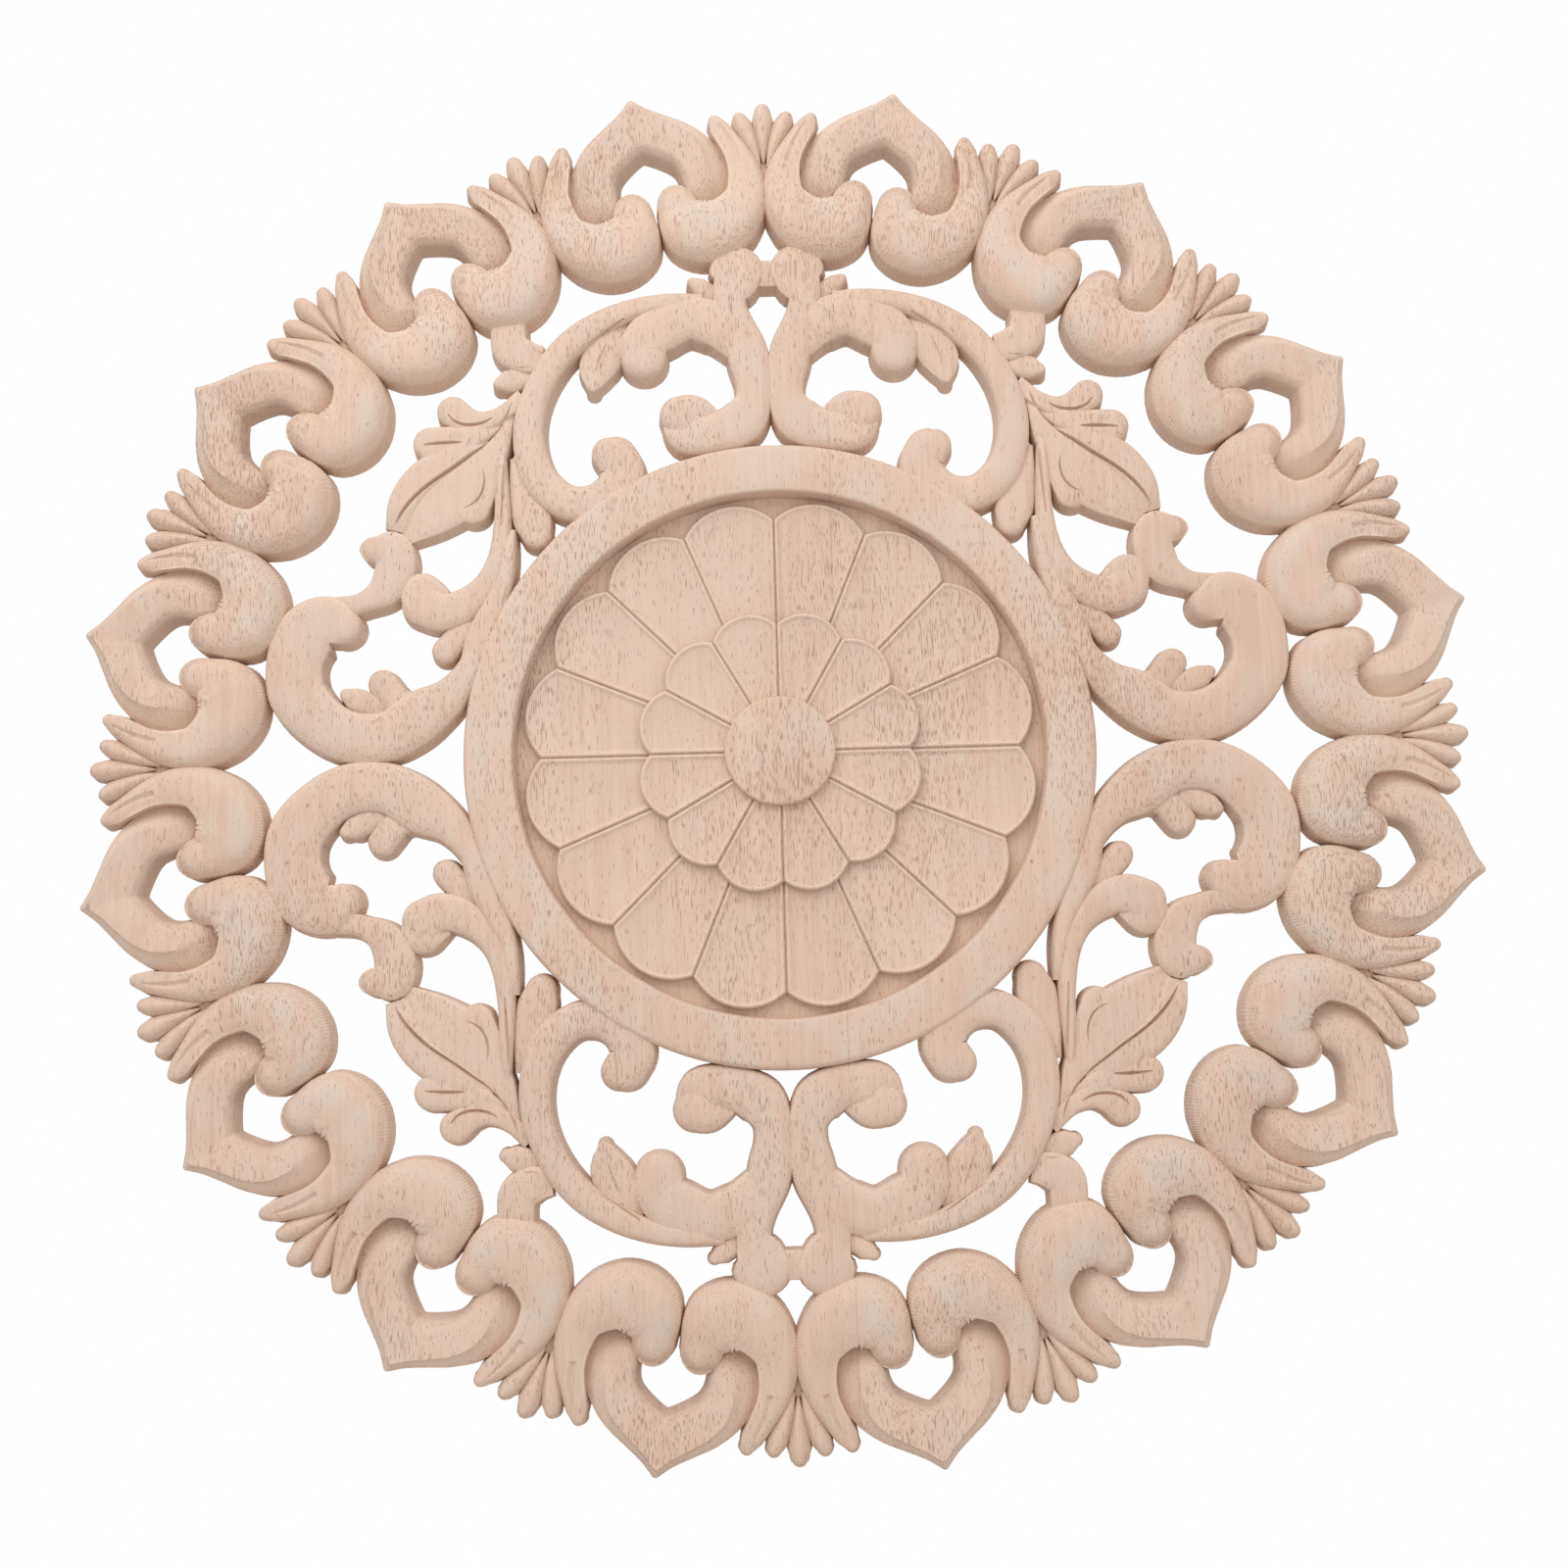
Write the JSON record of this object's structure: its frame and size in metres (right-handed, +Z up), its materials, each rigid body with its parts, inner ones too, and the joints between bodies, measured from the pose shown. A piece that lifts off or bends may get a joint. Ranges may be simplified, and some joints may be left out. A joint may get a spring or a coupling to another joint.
{
  "type": "carved wooden rosette",
  "caption": "Round pierced wall rosette carved from pale wood, with a border of pointed arches and scrolls, leafy scrollwork and a petalled flower inside a flat ring.",
  "frame": {"origin": "centre of the flat back, where it meets the wall", "axes": "-Y out of the wall towards the viewer, +Y into the wall, +Z up, +X to the right seen from the front"},
  "size_m": [0.5872, 0.0161, 0.5872],
  "materials": {
    "pale_wood": "unfinished, sanded and tool-marked, matt"
  },
  "bodies": {
    "root": {"rosette": "pale_wood"}
  },
  "joints": []
}
